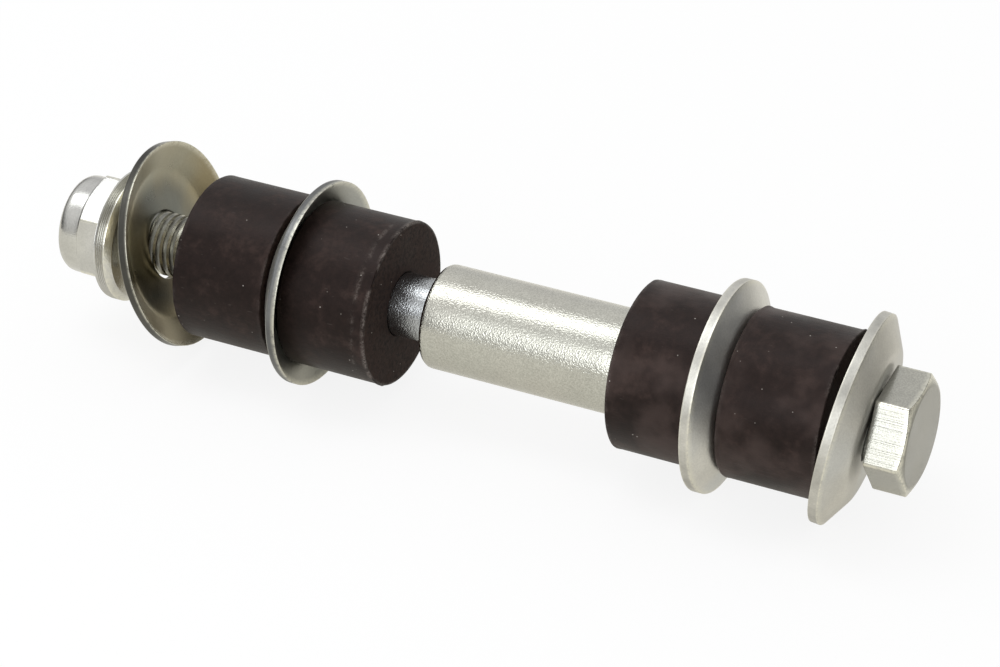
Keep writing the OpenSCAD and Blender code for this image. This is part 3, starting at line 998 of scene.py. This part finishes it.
def angular_noise(seed, waves, angle):
    """Smooth value in about -1 to 1 that repeats after one turn."""
    draw = np.random.default_rng(seed)
    sizes = draw.uniform(0.4, 1, waves)
    shifts = draw.uniform(0, 2 * math.pi, waves)
    total = sum(s * math.sin((k + 2) * angle + p) for k, (s, p) in enumerate(zip(sizes, shifts)))
    return total / sizes.sum()


def bump_at(angle, centre_deg, width_deg):
    """1 at one angle of the ring, falling off within the width to both sides."""
    gap = (math.degrees(angle) - centre_deg + 180) % 360 - 180
    return math.exp(-(gap / width_deg) ** 2)


def flash_height(seed, lip, angle):
    """Height of the lip: thin nearly everywhere, taller where a slow noise is high, and a little ragged."""
    slow = max(0.0, angular_noise(seed, 9, angle))
    return lip * (FLASH_BASE + FLASH_SLOW * slow + FLASH_QUICK * angular_noise(seed + 1, 22, angle))


# %% [markdown]
# Rubber bushings
#
# A bushing is a thick rubber ring. One end of each inner bushing is bevelled to sit in its washer's cup,
# and the other ends carry the flash. Handling chalks those edges. The skin has many cuts along its length,
# so that the chalk, which is stored at the points, can be narrow.

# %% Mould four bushings
BUSHING_R = 13.0
BUSHING_BORE = 5.05
BUSHING_SHRINK, BUSHING_WAVE = 0.04, 0.03
SEAT_BEVEL = 0.6
SEAT_WIDTH = SEAT_BEVEL * (RIM_R - FLOOR_R) / CUP_DEPTH
LIP_RUN = 0.7
LIP_WIDTH = 0.5
CHALK_REACH = 0.5
END_SEED, BODY_SEED = 7, 40


def bushing(name, body, node, finish, seed, lips, nubs, chalk, seat=None, dusty=()):
    """lips are the flash heights at the low and high end; nubs are (end, angle, width, height, length).

    seat is the end that is bevelled to sit in a cup. chalk is the amount on the edge of each end, and
    dusty lists (place from the low end, amount) of more chalk lines.
    """
    low, high = span(node)

    def end_corners(end, x, outward, body_r, angle):
        """Corners of one end from its face to its skin."""
        if seat == end:
            return [Corner(x, body_r - SEAT_WIDTH, arc=0.2),
                    Corner(x - outward * SEAT_BEVEL, body_r, arc=0.2)]
        flash, stretch = flash_height(seed + END_SEED * end, lips[end], angle), 0.0
        for which, centre, width, tall, long in nubs:
            if which == end:
                flash += tall * bump_at(angle, centre, width)
                stretch += long * bump_at(angle, centre, width)
        return [Corner(x, body_r - LIP_WIDTH),
                Corner(x + outward * stretch, body_r + flash, arc=0.18),
                Corner(x - outward * LIP_RUN, body_r, arc=0.5)]

    def outline(angle):
        body_r = BUSHING_R - BUSHING_SHRINK + BUSHING_WAVE * angular_noise(seed + BODY_SEED, 5, angle)
        first = end_corners(0, low, -1, body_r, angle)
        last = end_corners(1, high, 1, body_r, angle)[::-1]
        first[-1] = first[-1]._replace(cuts=30)
        return [Corner(low, BUSHING_BORE, arc=0.25, cuts=3), *first,
                *last, Corner(high, BUSHING_BORE, arc=0.25, cuts=6)]

    points, _ = rings(outline, sides=256)
    marked = [(low, chalk[0]), (high, chalk[1])] + [(low + place, amount) for place, amount in dusty]
    edge = np.max([near_corners(points, [(x, BUSHING_R)], CHALK_REACH) * amount
                   for x, amount in marked], axis=0)
    register(skin(name, points, edge, closed=True), finish, body, node)


bushing("bushing_nut_outer", "nut_side_pack", "nut_side_outer_bushing", black_rubber, seed=11,
        lips=(0.04, 0.05), nubs=[], chalk=(0.25, 0.25))
bushing("bushing_nut_inner", "nut_side_pack", "nut_side_inner_bushing", black_rubber, seed=12,
        lips=(0.0, 0.07), nubs=[(1, 66, 7, 0.20, 0.25), (1, 228, 6, 0.20, 0.25), (1, 236, 3, 0.15, 0.1)],
        chalk=(0.0, 1.0), seat=0, dusty=[(13.4, 0.45)])
bushing("bushing_head_inner", "bolt", "head_side_inner_bushing", rubber_dust_and_sheen, seed=13,
        lips=(0.06, 0.0), nubs=[(0, 70, 6, 0.12, 0.0)], chalk=(0.45, 0.0), seat=1)
bushing("bushing_head_outer", "bolt", "head_side_outer_bushing", rubber_dust_and_sheen, seed=14,
        lips=(0.16, 0.05), nubs=[(1, 64, 4, 0.30, 0.1), (0, 60, 9, 0.15, 0.0)], chalk=(0.2, 0.35))

# %% [markdown]
# Spacer tube
#
# The spacer is a length of tube with well rounded ends, which a ring of corners gives directly. It hangs on
# the shank, a third of a millimetre below the axis, so its rings are shifted down as the CAD node is.

# %% Cut the tube
SPACER_R = 8.2
SPACER_BORE = 5.45
SPACER_DROP = 0.35
spacer_low, spacer_high = span("spacer_tube")


def spacer_outline(angle):
    """Outline of the tube, which is the same at every angle."""
    return [
        Corner(spacer_low, SPACER_BORE, arc=0.25, cuts=2),
        Corner(spacer_low, SPACER_R, arc=1.0, cuts=10),
        Corner(spacer_high, SPACER_R, arc=1.0, cuts=2),
        Corner(spacer_high, SPACER_BORE, arc=0.25, cuts=6),
    ]


points, _ = rings(spacer_outline, sides=192)
edge = near_corners(points, [(spacer_low, SPACER_BORE), (spacer_high, SPACER_BORE)], reach=0.4)
spacer_mesh = skin("spacer", points, edge, closed=True, place=at(0, z=-SPACER_DROP))
register(spacer_mesh, spacer_zinc, "spacer", "spacer_tube")

# %% [markdown]
# Floor
#
# The link lies on a plain white sheet. The camera sees it nearly as pure white, with only a faint shadow.
# Metal sees more of the real surface, so the shadow under the link darkens its lower side. Far to the right
# the sheet falls off to grey, which gives the backs of the washers something dark to mirror.

# %% Lay the floor
FLOOR_GAP = 0.00002
FLOOR_HALF = 2.5
PAPER = 0.92
CAMERA_WHITE = 0.86
MIRROR_WHITE, MIRROR_GAIN = 0.58, 0.32
MIRROR_FALL = (0.11, 0.26)
FALL_DEPTH = 0.8
WARM_WHITE = (1.0, 0.965, 0.86, 1.0)


def light_paths(tree):
    """Rays from the camera or through glass, and mirror-like rays."""
    path = tree.nodes.new("ShaderNodeLightPath").outputs
    return larger(tree, path["Is Camera Ray"], path["Is Transmission Ray"]), path["Is Glossy Ray"]


def white_paper(name):
    """Paper that glows white for the camera and, less so, for mirror-like rays."""
    paper = bpy.data.materials.new(name)
    paper.use_nodes = True
    tree = paper.node_tree
    tree.nodes.remove(tree.nodes["Principled BSDF"])
    direct, mirrored = light_paths(tree)
    spot = add(tree, "ShaderNodeTexCoord").outputs["Object"]
    right = band(tree, add(tree, "ShaderNodeSeparateXYZ", {0: spot}).outputs[0], *MIRROR_FALL)
    glow_level = minus(tree, 1.0, times(tree, times(tree, mirrored, right), FALL_DEPTH))
    mirror_share = times(tree, mirrored, plus(tree, times(tree, right, MIRROR_GAIN), MIRROR_WHITE))
    share = larger(tree, times(tree, direct, CAMERA_WHITE), mirror_share)
    plain = add(tree, "ShaderNodeBsdfDiffuse", {"Color": grey(PAPER)}).outputs[0]
    warm = mix(tree, mirrored, grey(1.0), WARM_WHITE)
    glow = add(tree, "ShaderNodeEmission", {"Color": warm, "Strength": glow_level}).outputs[0]
    mixed = add(tree, "ShaderNodeMixShader", {0: share, 1: plain, 2: glow}).outputs[0]
    tree.links.new(mixed, tree.nodes["Material Output"].inputs["Surface"])
    return paper


floor_z = first_box[0].z - FLOOR_GAP
floor_mesh = bpy.data.meshes.new("floor")
floor_spots = [(x * FLOOR_HALF, y * FLOOR_HALF, floor_z) for x, y in ((-1, -1), (1, -1), (1, 1), (-1, 1))]
floor_mesh.from_pydata(floor_spots, [], [(0, 1, 2, 3)])
floor_mesh.materials.append(white_paper("white_paper"))
floor = bpy.data.objects.new("floor", floor_mesh)
scene.collection.objects.link(floor)
print(f"floor at {floor_z / MM:.2f} mm")

# %% [markdown]
# World
#
# The room is white for the camera. Metal sees it darker along the horizon, most of all to both sides and
# behind on the right, as in a real room with its lamps in front, and dimmer on the right up to near the top.
# Light that only bounces comes evenly. An even white world would leave the metal flat and grey.

# %% Set the world
WORLD_LEVEL = 0.80
HORIZON = (0.12, 0.70)
SIDES = (0.35, 0.85)
BEHIND, RIGHT_BEHIND = (0.1, 0.8), (-0.1, 0.5)
RIGHT, BELOW_TOP = (0.15, 0.60), (0.95, 0.60)
SIDE_DIM, HORIZON_DIM, RIGHT_DIM = 0.70, 0.18, 0.50

world = bpy.data.worlds.new("white_room")
scene.world = world
world.use_nodes = True
tree = world.node_tree
sky = tree.nodes["Background"]
sky.inputs["Color"].default_value = grey(1.0)
direct, mirrored = light_paths(tree)
aim = add(tree, "ShaderNodeTexCoord").outputs["Generated"]
aim_x, aim_y, aim_z = add(tree, "ShaderNodeSeparateXYZ", {0: aim}).outputs
low_down = minus(tree, 1.0, band(tree, math_node(tree, "ABSOLUTE", aim_z), *HORIZON))
sideways = band(tree, math_node(tree, "ABSOLUTE", aim_x), *SIDES)
behind_right = times(tree, band(tree, aim_y, *BEHIND), band(tree, aim_x, *RIGHT_BEHIND))
right = times(tree, band(tree, aim_x, *RIGHT), band(tree, aim_z, *BELOW_TOP))
side_dim = times(tree, larger(tree, sideways, behind_right), SIDE_DIM)
dim = times(tree, low_down, plus(tree, side_dim, HORIZON_DIM))
dim = larger(tree, dim, times(tree, right, RIGHT_DIM))
mirror_level = times(tree, mirrored, minus(tree, 1.0 - WORLD_LEVEL, dim))
level = larger(tree, plus(tree, WORLD_LEVEL, mirror_level), direct)
tree.links.new(level, sky.inputs["Strength"])
print("world:", world.name)

# %% [markdown]
# Lamps
#
# Three soft boxes shape the metal, as in a photographer's studio. One hangs over the link and draws the
# white band along the top of the tube. Two stand in front: a weak one on the left lights the grainy band
# below it, and a stronger one whitens the flat of the head. Small lamps would leave hard sparks instead.

# %% Hang the soft boxes
LAMP_TINT = (0.96, 0.985, 1.0)


def soft_box(name, place, wide, tall, radiance):
    """Area lamp that faces the origin; radiance is how bright it looks, with 1 as white."""
    lamp = bpy.data.lights.new(name, "AREA")
    lamp.shape = "RECTANGLE"
    lamp.size, lamp.size_y = wide, tall
    lamp.energy = radiance * math.pi * wide * tall
    lamp.color = LAMP_TINT
    made = bpy.data.objects.new(name, lamp)
    made.location = place
    made.rotation_euler = (-made.location).to_track_quat("-Z", "Y").to_euler()
    scene.collection.objects.link(made)
    print(f"{name}: {lamp.energy:.2f} W")


soft_box("overhead_box", (-0.27, -0.032, 0.65), wide=0.30, tall=0.60, radiance=2.3)
soft_box("front_left_box", (-0.20, -0.50, 0.33), wide=0.14, tall=0.34, radiance=0.75)
soft_box("front_right_box", (-0.035, -0.50, 0.21), wide=0.19, tall=0.30, radiance=2.8)

# %% [markdown]
# Camera
#
# The camera stands in front of the head's end and looks down at the link. Its place and its lens were
# fitted to the straight edges and the washers' rims in the photograph.

# %% Set the camera
EYE = (0.182993, -0.368184, 0.251967)
LOOK_UP_DEG, LOOK_LEFT_DEG = 58.313, 25.996

camera = bpy.data.cameras.new("camera")
camera.sensor_fit = "HORIZONTAL"
camera.sensor_width = 36.0
camera.lens = 113.914
viewer = bpy.data.objects.new("camera", camera)
viewer.location = EYE
viewer.rotation_euler = (math.radians(LOOK_UP_DEG), 0, math.radians(LOOK_LEFT_DEG))
scene.collection.objects.link(viewer)
scene.camera = viewer
scene.view_settings.view_transform = "Standard"
print(f"camera at {EYE} m with a {camera.lens:.0f} mm lens")
